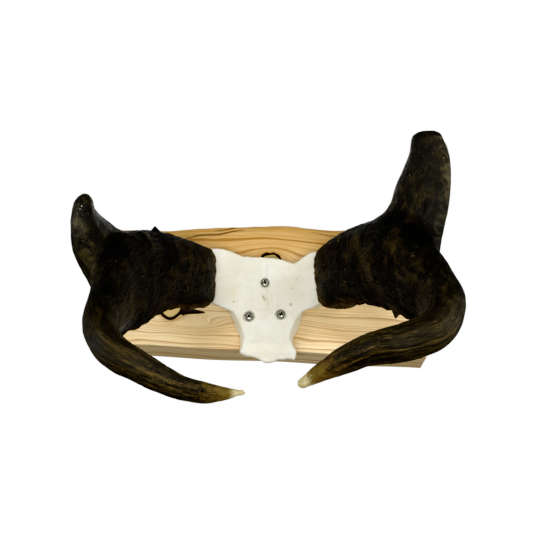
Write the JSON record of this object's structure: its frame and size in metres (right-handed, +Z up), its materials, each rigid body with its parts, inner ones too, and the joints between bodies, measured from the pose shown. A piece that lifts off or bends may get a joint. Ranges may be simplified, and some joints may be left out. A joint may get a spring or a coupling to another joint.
{
  "type": "mounted pronghorn horns on a skull plate with a wooden plaque",
  "caption": "Black forked pronghorn horns with hooked pale tips on a white bone skull plate, screwed to a natural-edge pine plaque that hangs flat on a wall.",
  "frame": {"origin": "middle of the plaque's flat back face, where it meets the wall", "axes": "+Z up the wall, -Y out of the wall towards the room, +X to the right as seen from the room"},
  "size_m": [0.2606, 0.2792, 0.1963],
  "materials": {
    "horn_black": "fibrous matt horn",
    "horn_tip": "satin brown horn with pale points",
    "bone": "bleached matt bone",
    "pine": "satin clear-finished pine",
    "screw_zinc": "bright zinc plate"
  },
  "bodies": {
    "root": {"plaque_board": "pine", "skull_plate": "bone", "horn_left_shaft": "horn_black", "horn_left_prong": "horn_black", "horn_left_hook": "horn_black", "horn_left_tip": "horn_tip", "horn_right_shaft": "horn_black", "horn_right_prong": "horn_black", "horn_right_hook": "horn_black", "horn_right_tip": "horn_tip", "screw_top": "screw_zinc", "screw_lower_left": "screw_zinc", "screw_lower_right": "screw_zinc"}
  },
  "joints": []
}
